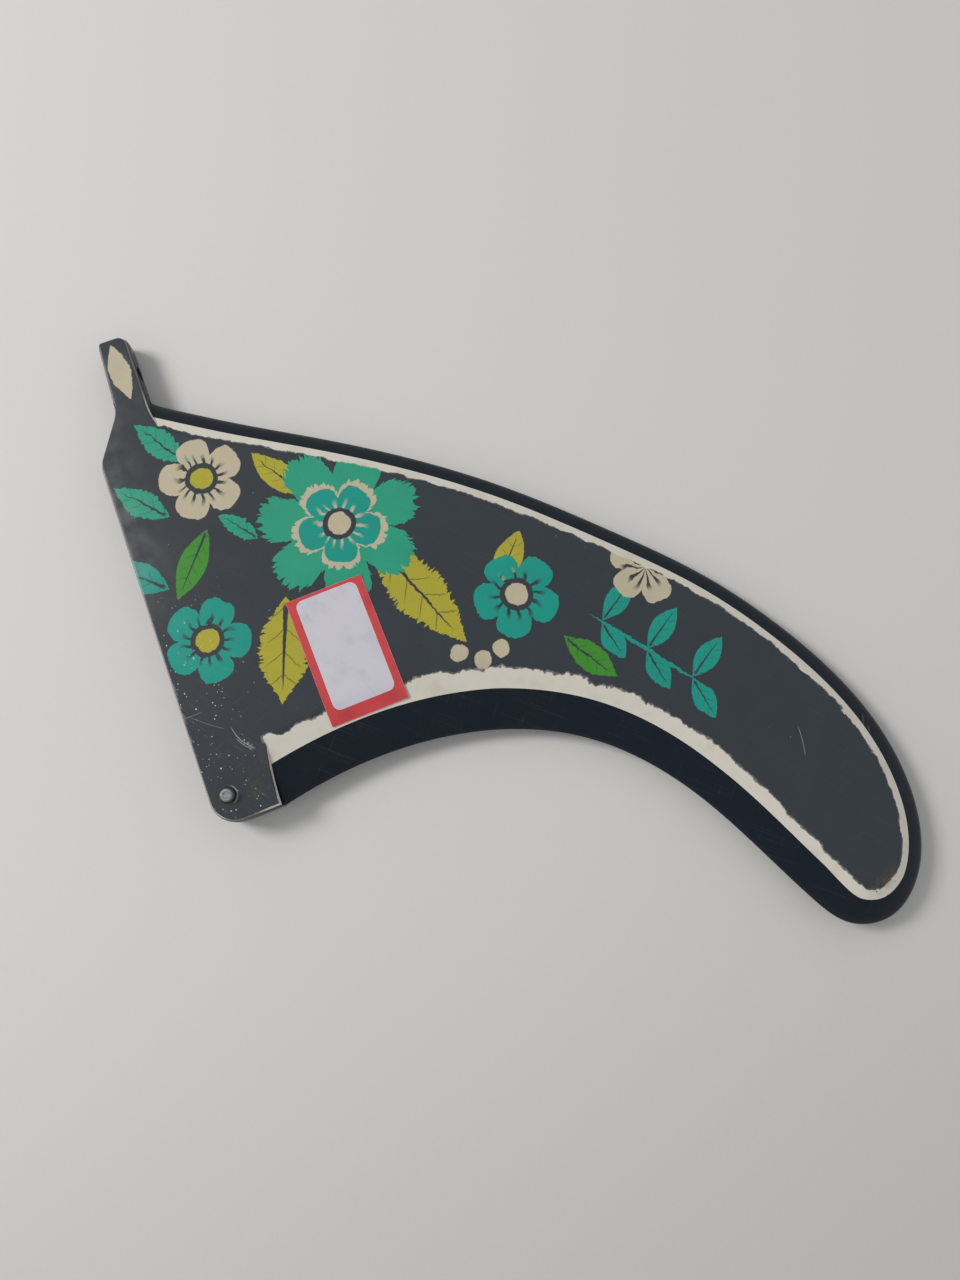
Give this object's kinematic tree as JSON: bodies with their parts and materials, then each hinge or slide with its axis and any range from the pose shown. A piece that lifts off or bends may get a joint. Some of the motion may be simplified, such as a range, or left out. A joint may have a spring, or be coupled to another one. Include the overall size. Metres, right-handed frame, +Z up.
{
  "type": "surfboard fin",
  "caption": "Longboard centre fin: swept, foiled laminate blade on a box base with a screw tang and a cross pin, with printed cloth under clear resin on both faces.",
  "frame": {"origin": "On the foot of the base, near its middle, halfway through the panel's thickness.", "axes": "+X to the rear of the board, +Y from the foot to the tip of the blade, +Z up through the thickness, as the fin lies on its side."},
  "size_m": [0.2556, 0.199, 0.014],
  "materials": {
    "black_core": "black glass laminate under clear resin, semi-gloss",
    "white_ply": "cream white glass ply under clear resin, semi-gloss",
    "charcoal_cloth": "charcoal printed cloth sealed in clear resin, semi-gloss",
    "chartreuse_print": "printed cloth sealed in clear resin",
    "leaf_green_print": "printed cloth sealed in clear resin",
    "sea_green_print": "printed cloth sealed in clear resin",
    "teal_print": "printed cloth sealed in clear resin",
    "cream_print": "printed cloth sealed in clear resin",
    "pin_steel": "dull steel",
    "label_red": "red printed paper",
    "label_white": "bare white paper"
  },
  "bodies": {
    "root": {"core_laminate": "black_core", "white_ply_top": "white_ply", "white_ply_bottom": "white_ply", "cloth_ply_top": "charcoal_cloth", "cloth_ply_bottom": "charcoal_cloth", "print_chartreuse_top": "chartreuse_print", "print_chartreuse_bottom": "chartreuse_print", "print_leaf_green_top": "leaf_green_print", "print_leaf_green_bottom": "leaf_green_print", "print_sea_green_top": "sea_green_print", "print_sea_green_bottom": "sea_green_print", "print_teal_top": "teal_print", "print_teal_bottom": "teal_print", "print_cream_top": "cream_print", "print_cream_bottom": "cream_print", "cross_pin": "pin_steel", "price_label": "label_red", "label_window": "label_white"}
  },
  "joints": []
}
